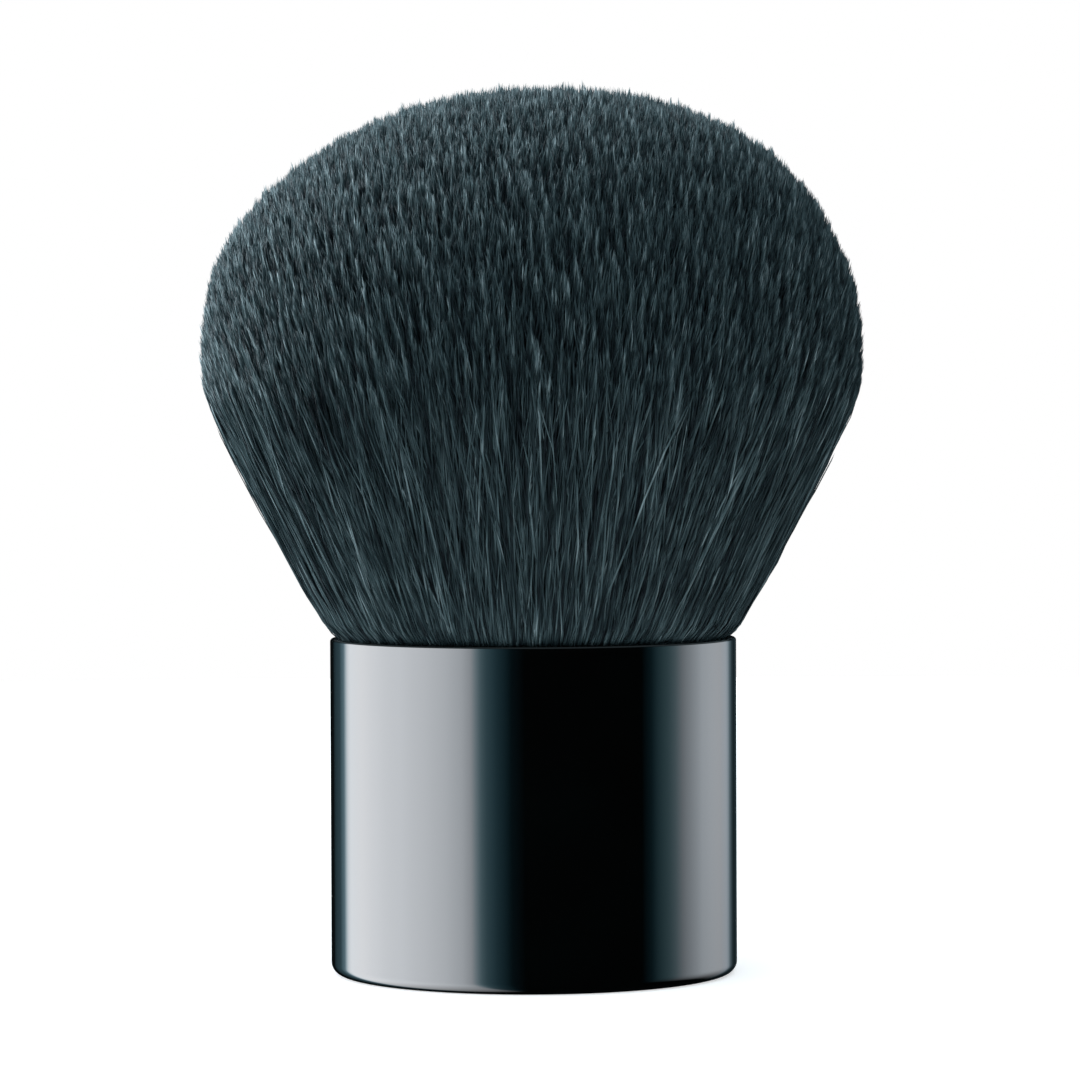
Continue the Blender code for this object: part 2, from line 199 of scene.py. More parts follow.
def add_node(material, kind, settings=None, links=None, feeds=None):
    """Adds one node. settings are its properties or sockets by name or number, and links are what feeds it.

    A whole node stands for its first output, which can feed a socket of the Principled shader. The setting
    "stops" is for a colour ramp: a list of (position, hex colour).
    """
    tree = material.node_tree
    node = tree.nodes.new(kind)
    for key, value in (settings or {}).items():
        if key == "stops":
            elements = node.color_ramp.elements
            while len(elements) < len(value):
                elements.new(0.5)
            for element, (position, colour) in zip(elements, value):
                element.position = position
                element.color = linear(colour)
        elif isinstance(key, int) or key in node.inputs:
            node.inputs[key].default_value = value
        else:
            setattr(node, key, value)
    for key, source in (links or {}).items():
        tree.links.new(getattr(source, "outputs", [source])[0], node.inputs[key])
    if feeds:
        tree.links.new(node.outputs[0], tree.nodes["Principled BSDF"].inputs[feeds])
    return node


# %% [markdown]
# Many finishes are grained: one pattern, such as cells or fine lines, shows as colour, as relief and as
# polish. One function makes them all. Each pattern has its real size, or is as coarse as it needs to be
# to show.

# %% A material with one pattern
def grained_material(
    name, kind, settings, stops, relief=None, polish=None, stretch=None, output="Fac", **base
):
    """One texture's output draws the colours, the relief and the roughness. base is what new_material takes.

    stops are its colours, relief is a bump's (strength, depth), and polish is (lowest, highest) roughness.
    stretch multiplies the place that the texture reads, so a small number draws its grain out that way.
    """
    material = new_material(name, **base)
    place = add_node(material, "ShaderNodeTexCoord").outputs["Object"]
    if stretch:
        place = add_node(material, "ShaderNodeMapping", {"Scale": stretch}, {"Vector": place})
    grain = add_node(material, kind, settings, {"Vector": place}).outputs[output]
    add_node(material, "ShaderNodeValToRGB", {"stops": stops}, {"Fac": grain}, "Base Color")
    if relief:
        bump = {"Strength": relief[0], "Distance": relief[1]}
        add_node(material, "ShaderNodeBump", bump, {"Height": grain}, "Normal")
    if polish:
        shine = {"From Min": 0.3, "From Max": 0.7, "To Min": polish[0], "To Max": polish[1]}
        add_node(material, "ShaderNodeMapRange", shine, {"Value": grain}, "Roughness")
    return material


# %% [markdown]
# The barrel is deep-drawn aluminium under a gloss black lacquer. To the eye it is a black mirror that
# reflects about four percent face on and nearly everything at a grazing angle, which is why the lamps
# draw such clear bands on it. Sprayed lacquer is never quite flat: it has a faint orange peel with waves
# of about a millimetre, and its polish is a little uneven where it was wiped.

# %% Gloss black lacquer
SMEAR_WIDTH = 9 * MM
PEEL_WIDTH = 1.4 * MM

lacquer = grained_material(
    "gloss_black_lacquer",
    "ShaderNodeTexNoise",
    {"Scale": 1 / SMEAR_WIDTH, "Detail": 3.0},
    stops=[(0.3, "#010101"), (0.7, "#010202")],
    polish=(0.04, 0.07),
    roughness=0.07,
)
place = add_node(lacquer, "ShaderNodeTexCoord").outputs["Object"]
peel = add_node(lacquer, "ShaderNodeTexNoise", {"Scale": 1 / PEEL_WIDTH, "Detail": 1.0}, {"Vector": place})
add_node(lacquer, "ShaderNodeBump", {"Strength": 0.03, "Distance": 0.02 * MM}, {"Height": peel}, "Normal")

# %% [markdown]
# ## The barrel
#
# The real barrel is drawn from one disc of sheet, so it is a thin can: a straight wall, a rim that is
# rounded over its whole thickness, a rounded foot, and a base panel pushed in a little so that it stands
# on a ring. The CAD solid has 72 flat sides, which a mirror finish would show at once, so the same
# profile is turned with 288.

# %% Turn the barrel
SEAT_GAP = 0.3 * MM
BARREL_STEPS = 288
BARREL_WALL = 0.5 * MM
BARREL_FLOOR = 0.8 * MM
FOOT_ROUND = 0.9 * MM
FOOT_WIDTH = 2.5 * MM
BASE_RECESS = 0.4 * MM
RECESS_SLOPE = 0.6 * MM

_, barrel_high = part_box("outer_barrel")
BARREL_RADIUS = barrel_high.x
RIM_Z = barrel_high.z
BARREL_BORE = BARREL_RADIUS - BARREL_WALL


def barrel_profile():
    """From the middle of the floor inside, up the bore, over the rim, down the wall and under the foot."""
    rim_round = BARREL_WALL / 2
    inner_round = FOOT_ROUND - BARREL_WALL
    floor_z = BASE_RECESS + BARREL_FLOOR
    recess_radius = BARREL_RADIUS - FOOT_ROUND - FOOT_WIDTH
    panel_radius = recess_radius - RECESS_SLOPE
    rim_middle = (BARREL_RADIUS - rim_round, RIM_Z - rim_round)
    return np.concatenate([
        [(0.0, floor_z), (panel_radius, floor_z), (recess_radius, BARREL_FLOOR)],
        round_corner(BARREL_BORE - inner_round, BARREL_FLOOR + inner_round, inner_round, -90, 0),
        straight((BARREL_BORE, BARREL_FLOOR + inner_round), (BARREL_BORE, RIM_Z - rim_round))[1:-1],
        round_corner(*rim_middle, rim_round, 180, 0, steps=16),
        straight((BARREL_RADIUS, RIM_Z - rim_round), (BARREL_RADIUS, FOOT_ROUND), steps=24)[1:-1],
        round_corner(BARREL_RADIUS - FOOT_ROUND, FOOT_ROUND, FOOT_ROUND, 0, -90, steps=16),
        [(recess_radius, 0.0), (panel_radius, BASE_RECESS), (0.0, BASE_RECESS)],
    ])


barrel = add_piece("barrel", *turned_surface(barrel_profile(), BARREL_STEPS), lacquer)
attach(barrel, "root")
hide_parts("outer_barrel")

# %% [markdown]
# ## The shape of the head
#
# All hairs start on a disc about 28 mm wide, just inside the rim, and fan out. A hair that starts at some
# share of the disc's radius stays at that share of the fan's radius all the way up, so hairs never
# tangle. It ends where it meets the dome of the tips. These are the same curves that the CAD strands
# follow.

# %% Curves of the fan and the dome
KNOT_BELOW_RIM = 2.0 * MM
FLANK_RIM_ANGLE = math.radians(33.5)
FLANK_TOP_ANGLE = math.radians(22.7)
FLANK_HEIGHT = 19.2 * MM
DOME_RADIUS = 26.1 * MM
DOME_CENTRE_HEIGHT = 22.8 * MM
DOME_CROWN_HEIGHT = 20.6 * MM
DOME_POWER = 2.1
CROWN_SHIFT = 1.15 * MM
SHIFT_START = 30.0 * MM
SHIFT_END = 41.5 * MM
CROWN_HEIGHT = DOME_CENTRE_HEIGHT + DOME_CROWN_HEIGHT
HAIR_RIM_RADIUS = BARREL_BORE - SEAT_GAP
CORE_HALVINGS = 30


def fan_radius(height):
    """Radius of the outermost hair: a parabola that leaves the rim and eases to a steeper slope."""
    rim_slope = math.tan(FLANK_RIM_ANGLE)
    easing = (rim_slope - math.tan(FLANK_TOP_ANGLE)) / (2 * FLANK_HEIGHT)
    return HAIR_RIM_RADIUS + rim_slope * height - easing * height**2


def dome_radius(height):
    """Radius of the dome: an ellipse with a power a little over two, so its shoulders are fuller."""
    rise = np.abs(height - DOME_CENTRE_HEIGHT) / DOME_CROWN_HEIGHT
    return DOME_RADIUS * np.maximum(0, 1 - rise**DOME_POWER) ** (1 / DOME_POWER)


def last_inside(count, low, is_inside, halvings):
    """Greatest heights from low to the crown that are still inside, found by halving the range repeatedly."""
    low, high = np.full(count, low), np.full(count, CROWN_HEIGHT)
    for _ in range(halvings):
        middle = (low + high) / 2
        inside = is_inside(middle)
        low = np.where(inside, middle, low)
        high = np.where(inside, high, middle)
    return low


def tip_height(share):
    """Height at which straight hairs of these shares meet the dome."""
    def inside_dome(height):
        return share * fan_radius(height) < dome_radius(height)

    return last_inside(len(share), FLANK_HEIGHT, inside_dome, CORE_HALVINGS)


def crown_shift(height):
    """The crown sits a little off centre, to the right: a smooth step, 3 s^2 - 2 s^3 of the height."""
    step = np.clip((height - SHIFT_START) / (SHIFT_END - SHIFT_START), 0, 1)
    return CROWN_SHIFT * step**2 * (3 - 2 * step)


ROOT_RADIUS = float(fan_radius(-KNOT_BELOW_RIM))
print(f"root disc {ROOT_RADIUS * 2 / MM:.1f} mm wide, crown {(RIM_Z + CROWN_HEIGHT) / MM:.1f} mm high")

# %% [markdown]
# The hair is dyed synthetic fibre. A fibre is crimped so that the head stays springy, and each millimetre
# or two of it turns towards the light or away from it. A head of such hair is therefore not streaked from
# top to bottom: it is nearly black with short, cool grey flecks. The crimp is far finer than a hair's own
# faces, so the material paints its light as noise in one dimension along each hair: painted highlights
# where the crimp would face the light, and painted shade where it turns away. A number stored on each hair
# gives it a tone of its own, because every fibre took the dye a little differently, and another starts
# its noise in another place.

# %% Black synthetic hair
def make_black_fibre():
    """Dyed PBT fibre: painted highlights and shade as flecks along each hair, a tone for each hair, and paler
    tips.
    """
    pale_length_mm = 1.6
    pale_step = 0.05
    painted_glint_share = 0.30
    material = new_material("dyed_black_fibre", roughness=0.7, ior=1.4)
    tone, crimp_place, below_tip = [
        add_node(material, "ShaderNodeAttribute", {"attribute_name": name}).outputs["Fac"]
        for name in ("tone", "crimp_place", "below_tip")
    ]
    crimp = add_node(
        material,
        "ShaderNodeTexNoise",
        {"noise_dimensions": "1D", "Scale": 1.0, "Detail": 1.5},
        {"W": crimp_place}
    )
    # The flecks are painted highlights and painted shade along the hair; they also vary its roughness.
    painted_glint = add_node(material, "ShaderNodeMapRange", {"From Min": 0.3, "From Max": 0.7}, {"Value": crimp})
    pale = add_node(
        material,
        "ShaderNodeMapRange",
        {"From Max": pale_length_mm, "To Min": pale_step, "To Max": 0.0},
        {"Value": below_tip}
    )
    mixed = add_node(material, "ShaderNodeMix", {"data_type": "FLOAT", 0: painted_glint_share}, {2: tone, 3: painted_glint})
    lightness = add_node(material, "ShaderNodeMath", {"operation": "ADD"}, {0: mixed, 1: pale})
    stops = [(0.1, "#020F18"), (0.4, "#1A2E33"), (0.7, "#3F5357"), (1.0, "#76878B")]
    add_node(material, "ShaderNodeValToRGB", {"stops": stops}, {"Fac": lightness}, "Base Color")
    add_node(material, "ShaderNodeMapRange", {"To Min": 0.8, "To Max": 0.6}, {"Value": painted_glint}, "Roughness")
    return material


black_fibre = make_black_fibre()

# %% [markdown]
# ## The hairs
#
# A real head has tens of thousands of hairs. They could be Blender's hair curves, but those would not be
# part of the exported model, so each hair is a thin three-sided spike of real faces. Roots lie on the
# disc in a sunflower pattern: each next root turns by the golden angle and moves out with the square root
# of its number, which fills the disc evenly. Each modelled hair is about 0.14 mm wide, as two real fibres
# are, because single ones would be too fine for the picture. Real hairs cling together in strands, and
# strands in locks. Two smooth random fields do that here: they vary quickly across the fan and slowly
# along it. Hairs move towards the peaks of the strands, and are a little longer at the peaks of both. They
# are also painted lighter there and darker in between: painted light on the peaks and painted shade in
# the gaps.

# %% Random fields for strands and locks
HAIR_SEED = 11
STRAND_WIDTH = 0.44 * MM
STRAND_LENGTH = 5.0 * MM
LOCK_WIDTH = 1.5 * MM
LOCK_LENGTH = 12 * MM
FIELD_WAVES = 24
FIELD_WIDTHS = (0.75, 1.35)
FIELD_SLANT = 0.7

random_source = np.random.default_rng(HAIR_SEED)


def ripples(width, length):
    """Wave vectors and phases of a smooth random field: plane waves in all directions round the axis.

    They are about this width across the hair and this length along it.
    """
    direction = random_source.uniform(0, 2 * np.pi, FIELD_WAVES)
    size = 2 * np.pi / (width * random_source.uniform(*FIELD_WIDTHS, FIELD_WAVES))
    rise = 2 * np.pi / length * random_source.normal(0, FIELD_SLANT, FIELD_WAVES)
    vectors = np.array([size * np.cos(direction), size * np.sin(direction), rise])
    return vectors, random_source.uniform(0, 2 * np.pi, FIELD_WAVES)


def fan_place(points):
    """Where in the fan a point lies: its x and y shrunk to the root disc, and its height above the rim."""
    height = points[..., 2] - RIM_Z
    shrink = ROOT_RADIUS / fan_radius(height)
    return np.stack([points[..., 0] * shrink, points[..., 1] * shrink, height], axis=-1)


def field_value(field, place):
    """The field there: the sum of cos(k . p + phase), scaled to a spread of one."""
    vectors, phases = field
    return np.cos(place @ vectors + phases).sum(axis=-1) * math.sqrt(2 / FIELD_WAVES)


def field_climb(field, place):
    """A step towards the field's nearest peak: the sum of -k/|k| sin(k . p + phase), scaled alike."""
    vectors, phases = field
    unit = vectors[:2] / np.linalg.norm(vectors[:2], axis=0)
    return -np.sin(place @ vectors + phases) @ unit.T * math.sqrt(2 / FIELD_WAVES)


strands = ripples(STRAND_WIDTH, STRAND_LENGTH)
locks = ripples(LOCK_WIDTH, LOCK_LENGTH)
print(f"strands {STRAND_WIDTH / MM:.2f} mm wide in locks of {LOCK_WIDTH / MM:.1f} mm")

# %% Lay out the roots and give each hair its own numbers
HAIR_COUNT = 137000
GOLDEN_ANGLE = math.pi * (3 - math.sqrt(5))
TURN_JITTER = 0.004
WAVE_LENGTHS = (7 * MM, 13 * MM)
WIDTH_RANGE = (0.65, 1.3)
CRIMP_STARTS = (0, 500)
BROKEN_PART = 0.4
BRIGHT_PART = 0.03
BRIGHT_STEP = 3
STRAY_PART = 0.05
STRAY_FACTOR = 1.8
SPLAY_LIMIT = 2.4

order = np.arange(HAIR_COUNT)
share = np.sqrt((order + 0.5) / HAIR_COUNT)
turn = order * GOLDEN_ANGLE + random_source.normal(0, TURN_JITTER, HAIR_COUNT)
hairs = {
    "share": share,
    "turn": turn,
    "sideways": random_source.normal(0, 1, HAIR_COUNT),
    "outwards": random_source.normal(0, 1, HAIR_COUNT),
    "curl": random_source.normal(0, 1, HAIR_COUNT),
    "phase_x": random_source.uniform(0, 2 * np.pi, HAIR_COUNT),
    "phase_y": random_source.uniform(0, 2 * np.pi, HAIR_COUNT),
    "wave": random_source.uniform(*WAVE_LENGTHS, HAIR_COUNT),
    "width": random_source.uniform(*WIDTH_RANGE, HAIR_COUNT),
    "shorter": np.abs(random_source.normal(0, 1, HAIR_COUNT)),
    "broken": random_source.exponential(1.0, HAIR_COUNT) * (random_source.random(HAIR_COUNT) < BROKEN_PART),
    "crimp": random_source.uniform(*CRIMP_STARTS, HAIR_COUNT),
    "shade": random_source.normal(0, 1, HAIR_COUNT),
}
hairs["shade"] += BRIGHT_STEP * (random_source.random(HAIR_COUNT) < BRIGHT_PART)
hairs["sideways"] *= np.where(random_source.random(HAIR_COUNT) < STRAY_PART, STRAY_FACTOR, 1.0)
hairs["sideways"] = np.clip(hairs["sideways"], -SPLAY_LIMIT, SPLAY_LIMIT)
print(f"{HAIR_COUNT} hairs, {(hairs['broken'] > 0).sum()} of them short")

# %% [markdown]
# The path of a hair is the fan's curve plus small departures that grow from nothing at the rim: a wave of
# its own, a slow curl, and a splay that is mostly sideways. Where the hair leaves the barrel it leans
# over the rounded rim. No hair strays past the outermost one by more than a little fuzz.

# %% Bend the hairs along the fan
FREE_LENGTH = 16 * MM
WAVE_SIZE = 0.10 * MM
WAVE_ONSET = 3 * MM
SIDEWAYS_SPLAY = 1.5 * MM
OUTWARDS_SPLAY = 1.1 * MM
SPLAY_POWER = 1.1
EDGE_SPLAY = 0.15
EDGE_POWER = 8
CURL_SIZE = 0.7 * MM
FUZZ = 0.22 * MM
LEAST_RADIUS = 1 * MM
RIM_BULGE = 0.50 * MM
BULGE_START = -0.25 * MM
BULGE_ONSET = 0.9 * MM
BULGE_HEIGHT = 6.0 * MM
BULGE_POWER = 10


def rim_bulge(height, of_share):
    """How far the outermost hairs lean out: up within a millimetre of the rim, then back in a bell curve."""
    rise = np.clip((height - BULGE_START) / BULGE_ONSET, 0, 1)
    bell = np.exp(-(np.maximum(0, height) / BULGE_HEIGHT) ** 2)
    return RIM_BULGE * rise**2 * (3 - 2 * rise) * bell * of_share**BULGE_POWER


def hair_paths(chosen, heights):
    """Points of the chosen hairs at these heights above the rim, as an array of hairs by heights by 3.

    Splay grows with a power of the height, and curl with its square. The wave is a cosine.
    """
    part = {key: values[chosen][:, None] for key, values in hairs.items()}
    free = np.maximum(0, heights / FREE_LENGTH) ** SPLAY_POWER
    wave = WAVE_SIZE * np.clip(heights / WAVE_ONSET, 0, 1)
    along = 2 * np.pi * heights / part["wave"]
    inner = 1 - part["share"] ** EDGE_POWER
    curl = CURL_SIZE * np.maximum(0, heights / FREE_LENGTH) ** 2 * part["curl"]
    radius = part["share"] * fan_radius(heights) + rim_bulge(heights, part["share"])
    room = EDGE_SPLAY + (1 - EDGE_SPLAY) * inner
    outwards = radius + free * OUTWARDS_SPLAY * part["outwards"] * room
    outwards = outwards + wave * np.cos(along + part["phase_x"])
    sideways = free * SIDEWAYS_SPLAY * part["sideways"] + curl + wave * np.cos(along + part["phase_y"])
    x = outwards * np.cos(part["turn"]) - sideways * np.sin(part["turn"])
    y = outwards * np.sin(part["turn"]) + sideways * np.cos(part["turn"])
    limit = fan_radius(heights) + rim_bulge(heights, 1.0) + FUZZ * part["shorter"]
    pull = np.minimum(1, limit / np.maximum(np.hypot(x, y), LEAST_RADIUS))
    return np.stack([pull * x, pull * y, RIM_Z + heights], axis=-1)


# %% [markdown]
# A brush maker shapes the dome by the way the hairs are set, so their tips meet it softly and not as if
# cut. A hair ends where its bent path leaves the dome, less a random shortfall of its own, and some hairs
# are much shorter.

# %% End the hairs at the dome
LOWEST_TIP = 0.6 * FLANK_HEIGHT
TIP_HALVINGS = 16
LENGTH_SPREAD = 0.34 * MM
BROKEN_LENGTH = 2.6 * MM
STRAND_RISE = 0.13 * MM
LOCK_RISE = 0.13 * MM


def hair_tips(chosen):
    """Tip heights: where the bent hair leaves the dome, less the hair's own shortfall.

    Strands and locks reach a little higher in their middle, by their fields' values at the tip.
    """
    part = {key: values[chosen] for key, values in hairs.items()}

    def inside_dome(height):
        end = hair_paths(chosen, height[:, None])[:, 0]
        return np.hypot(end[:, 0] - crown_shift(height), end[:, 1]) < dome_radius(height)

    edge = last_inside(len(chosen), LOWEST_TIP, inside_dome, TIP_HALVINGS)
    ends = fan_place(hair_paths(chosen, edge[:, None])[:, 0])
    gathered = STRAND_RISE * field_value(strands, ends) + LOCK_RISE * field_value(locks, ends)
    return edge + gathered - LENGTH_SPREAD * part["shorter"] - BROKEN_LENGTH * part["broken"]


# %% [markdown]
# Each hair is three corners round every point of its path, a third of a turn apart, and one point at the
# tip. The pattern of triangles is the same for every hair, so it is written once and shifted by the
# number of points in a hair. Its flat picture for baking is a cell of its own in a square grid of cells.

# %% Faces and flat picture of one hair
SIDES = 3
CAP_STRIP = 0.1
CAP_HEIGHT = 0.08


def hair_faces(rings):
    """Triangles of one hair: two to each side between rings, three at the tip and one under the root."""
    ring, side = np.meshgrid(np.arange(rings - 1), np.arange(SIDES), indexing="ij")
    low = SIDES * ring + side
    low_next = SIDES * ring + (side + 1) % SIDES
    wall = np.stack([low, low_next, low_next + SIDES, low, low_next + SIDES, low + SIDES], axis=-1)
    last = SIDES * (rings - 1) + np.arange(SIDES)
    tip = np.column_stack([last, np.roll(last, -1), np.full(SIDES, SIDES * rings)])
    return np.concatenate([wall.reshape(-1, 3), tip, [[0, 2, 1]]])


def hair_flat_picture(rings):
    """Corners of those triangles in a unit cell: sides across, rings up, the root's cap in a strip below."""
    def ring_height(ring):
        return CAP_STRIP + (1 - CAP_STRIP) * ring / rings

    ring, side = np.meshgrid(np.arange(rings - 1), np.arange(SIDES), indexing="ij")
    left, right = side / SIDES, (side + 1) / SIDES
    bottom, top = ring_height(ring), ring_height(ring + 1)
    wall = np.stack([left, bottom, right, bottom, right, top, left, bottom, right, top, left, top], axis=-1)
    last_left = np.arange(SIDES) / SIDES
    last_bottom = np.full(SIDES, ring_height(rings - 1))
    tip = np.column_stack([
        last_left, last_bottom, last_left + 1 / SIDES, last_bottom, last_left + 0.5 / SIDES, np.ones(SIDES)
    ])
    cap = np.array([[[0.0, 0.0], [0.5, CAP_HEIGHT], [1.0, 0.0]]])
    return np.concatenate([wall.reshape(-1, 3, 2), tip.reshape(-1, 3, 2), cap])


# %% [markdown]
# Thousands of hairs make one piece. Here the hairs also close up towards the middle of their strand,
# which starts above the rim, and each point gets the numbers that the fibre's material reads.

# %% Make one piece of many hairs
HAIR_WIDTH = 0.137 * MM
PULL_ONSET = 4 * MM
STRAND_PULL = 0.028 * MM
MIDDLE_TONE = 0.44
STRAND_PAINTED_SHADE = 0.21
LOCK_PAINTED_SHADE = 0.08
OWN_TONE = 0.08
CELL_MARGIN = 0.05


def on_every_point(numbers):
    """From a number for each ring and one for the tip to a number for each of the hair's points."""
    return np.concatenate([np.repeat(numbers[:, :-1], SIDES, axis=1), numbers[:, -1:]], axis=1)


def add_hairs(name, chosen, heights, widths, crimp_length):
    """The chosen hairs as one piece. heights has a row of ring heights and the tip's height for each hair.

    A corner lies off the path by half the hair's width, at (cos a, sin a), a third of a turn from the next.
    """
    paths = hair_paths(chosen, heights)
    place = fan_place(paths)
    # The tone is each hair's own dye plus painted shade: darker between strands and locks, lighter at their
    # peaks.
    tone = STRAND_PAINTED_SHADE * field_value(strands, place) + LOCK_PAINTED_SHADE * field_value(locks, place)
    tone = np.clip(MIDDLE_TONE + tone + OWN_TONE * hairs["shade"][chosen][:, None], 0, 1)
    gather = STRAND_PULL * np.clip(heights / PULL_ONSET, 0, 1) * fan_radius(heights) / ROOT_RADIUS
    paths[..., :2] += gather[..., None] * field_climb(strands, place)
    rings = len(widths)
    radius = HAIR_WIDTH / 2 * hairs["width"][chosen][:, None] * np.asarray(widths)
    angle = hairs["phase_x"][chosen][:, None] + 2 * np.pi * np.arange(SIDES) / SIDES
    round_it = np.stack([np.cos(angle), np.sin(angle), np.zeros_like(angle)], axis=-1)
    walls = paths[:, :-1, None, :] + radius[:, :, None, None] * round_it[:, None, :, :]
    points = np.concatenate([walls.reshape(len(chosen), -1, 3), paths[:, -1:, :]], axis=1)
    faces = hair_faces(rings)[None] + points.shape[1] * np.arange(len(chosen))[:, None, None]
    columns = math.ceil(math.sqrt(len(chosen)))
    cell = np.arange(len(chosen))
    corner = np.stack([cell % columns, cell // columns], axis=-1)[:, None, None, :]
    uv = (corner + CELL_MARGIN + (1 - 2 * CELL_MARGIN) * hair_flat_picture(rings)[None]) / columns
    below_tip = heights[:, -1:] - on_every_point(heights)
    values = {
        "tone": on_every_point(tone),
        "crimp_place": below_tip / crimp_length + hairs["crimp"][chosen][:, None],
        "below_tip": below_tip / MM,
    }
    piece = add_piece(
        name, points.reshape(-1, 3), [faces.reshape(-1, 3)], black_fibre, values, uv, sharp_angle=math.pi
    )
    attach(piece, "root")
    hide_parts("hair_bundle")
    return piece


# %% [markdown]
# Hairs near the outside make the flank. They are seen along their whole length, so they are modelled from
# just below the rim to the tip. Those deeper in make the crown. They only show near the dome, so they
# start some millimetres below it, inside the dark core, and need fewer rings.

# %% Grow the flank and the crown
FLANK_SHARE = 0.95
FLANK_PIECES = 4
FLANK_START = -1.0 * MM
FLANK_LEVELS = (0.0, 0.05, 0.11, 0.26, 0.44, 0.62, 0.80, 0.96, 1.0)
FLANK_WIDTHS = (1.0, 1.0, 1.0, 1.0, 1.0, 1.0, 1.0, 0.85)
FLANK_CRIMP = 3.0 * MM
CROWN_PIECES = 7
CROWN_DEPTH = 9 * MM
CROWN_LEVELS = (0.0, 0.92, 1.0)
CROWN_WIDTHS = (1.0, 0.8)
CROWN_CRIMP = 1.8 * MM

is_flank = share > FLANK_SHARE
around = np.argsort(turn % (2 * np.pi))
flank = around[is_flank[around]]
crown = around[~is_flank[around]]
hair_pieces = []
for number, chosen in enumerate(np.array_split(flank, FLANK_PIECES), start=1):
    tip = hair_tips(chosen)[:, None]
    heights = FLANK_START + (tip - FLANK_START) * FLANK_LEVELS
    hair_pieces.append(add_hairs(f"hair_flank_{number}", chosen, heights, FLANK_WIDTHS, FLANK_CRIMP))
for number, chosen in enumerate(np.array_split(crown, CROWN_PIECES), start=1):
    tip = hair_tips(chosen)[:, None]
    start = tip - CROWN_DEPTH
    heights = start + (tip - start) * CROWN_LEVELS
    hair_pieces.append(add_hairs(f"hair_crown_{number}", chosen, heights, CROWN_WIDTHS, CROWN_CRIMP))

# %% [markdown]
# ## The knot and the dark core
#
# Under the free hair, the roots are tied and bonded into one solid plug: a slice in the mouth of the
# ring, a waist that the thread is wound round, and the butt end. Above it, the middle of the head is so
# dense that no light comes through. One turned piece stands for both: the plug, and a core that fills the
# head a few millimetres below the dome. The core is a dark solid put where there is only shade, so it is
# painted shade. Its finish is hair set in resin, which is streaked along the hairs and dull.

# %% Bonded hair, also the painted shade of the core
STREAK_WIDTH = 0.25 * MM

bonded_hair_and_shade = grained_material(
    "bonded_hair_and_shade",
    "ShaderNodeTexNoise",
    {"Scale": 1 / STREAK_WIDTH, "Detail": 3.0},
    stops=[(0.35, "#05080A"), (0.65, "#121A1D")],
    relief=(0.4, 0.05 * MM),
    stretch=(1.0, 1.0, 0.08),
    roughness=0.6,
)

# %% Turn the knot and core
CORE_SHARE = 0.92
CORE_DEPTH = 5.5 * MM
CORE_STEPS = 96
CORE_TOP_RINGS = 30
CORE_SIDE_RINGS = 16
KNOT_SLICE = 2.6 * MM
KNOT_BUTT = 0.6 * MM
THREAD_DIAMETER = 0.5 * MM
FERRULE_WALL = 0.4 * MM

knot_low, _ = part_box("hair_bundle")
thread_low, thread_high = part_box("binding_thread")
_, ferrule_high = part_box("knot_ferrule")
FERRULE_BORE = ferrule_high.x - FERRULE_WALL


def core_profile():
    """From the core's crown, down inside the dome and the flank, then down the bonded plug."""
    shares = np.linspace(0, CORE_SHARE, CORE_TOP_RINGS)
    top_height = tip_height(shares) - CORE_DEPTH
    top = np.column_stack([shares * fan_radius(top_height), RIM_Z + top_height])
    side_height = np.linspace(top_height[-1], -KNOT_BELOW_RIM, CORE_SIDE_RINGS)[1:]
    side = np.column_stack([CORE_SHARE * fan_radius(side_height), RIM_Z + side_height])
    slice_radius = FERRULE_BORE - SEAT_GAP
    slice_top = RIM_Z - KNOT_BELOW_RIM - (slice_radius - ROOT_RADIUS)
    slice_bottom = RIM_Z - KNOT_BELOW_RIM - KNOT_SLICE
    waist_bottom = knot_low.z + KNOT_BUTT
    butt_radius = thread_high.x
    waist_radius = butt_radius - THREAD_DIAMETER - SEAT_GAP
    plug = [
        (ROOT_RADIUS, RIM_Z - KNOT_BELOW_RIM),
        (slice_radius, slice_top),
        (slice_radius, slice_bottom),
        (waist_radius, slice_bottom),
        (waist_radius, waist_bottom),
        (butt_radius, waist_bottom),
        (butt_radius, knot_low.z),
        (0.0, knot_low.z),
    ]
    return np.concatenate([top, side, plug])


# One piece for the real plug and for the core, a dark solid that is painted shade inside the head.
core = add_piece("hair_core", *turned_surface(core_profile(), CORE_STEPS), bonded_hair_and_shade)
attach(core, "root")
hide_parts("hair_bundle")

# %% [markdown]
# The knot is tied with thread: three plies of nylon twisted together. Its section is a round with three
# soft lobes that turns as it goes along the thread, so each ply shows as a slanting band. The winding has
# the CAD thread's place, its four turns and its full thickness. Nylon is silky and off-white. The colour
# follows how high a point is on its ply: it is darker in the grooves, which is painted shade.

# %% Twisted nylon
def make_nylon():
    """Twisted nylon thread: off-white and silky, with painted shade in the grooves and filaments as fine
    grain.
    """
    filament_width = 0.06 * MM
    material = new_material("twisted_nylon", roughness=0.45, ior=1.53)
    ply = add_node(material, "ShaderNodeAttribute", {"attribute_name": "ply"}).outputs["Fac"]
    # The ramp paints shade: darkest in the grooves between the plies, lightest on their crests.
    stops = [(0.0, "#8E8778"), (0.5, "#CBC5B6"), (1.0, "#E0DBCE")]
    add_node(material, "ShaderNodeValToRGB", {"stops": stops}, {"Fac": ply}, "Base Color")
    place = add_node(material, "ShaderNodeTexCoord").outputs["Object"]
    filaments = add_node(
        material, "ShaderNodeTexNoise", {"Scale": 1 / filament_width, "Detail": 1.0}, {"Vector": place}
    )
    bump = {"Strength": 0.4, "Distance": 0.02 * MM}
    add_node(material, "ShaderNodeBump", bump, {"Height": filaments}, "Normal")
    return material


nylon = make_nylon()

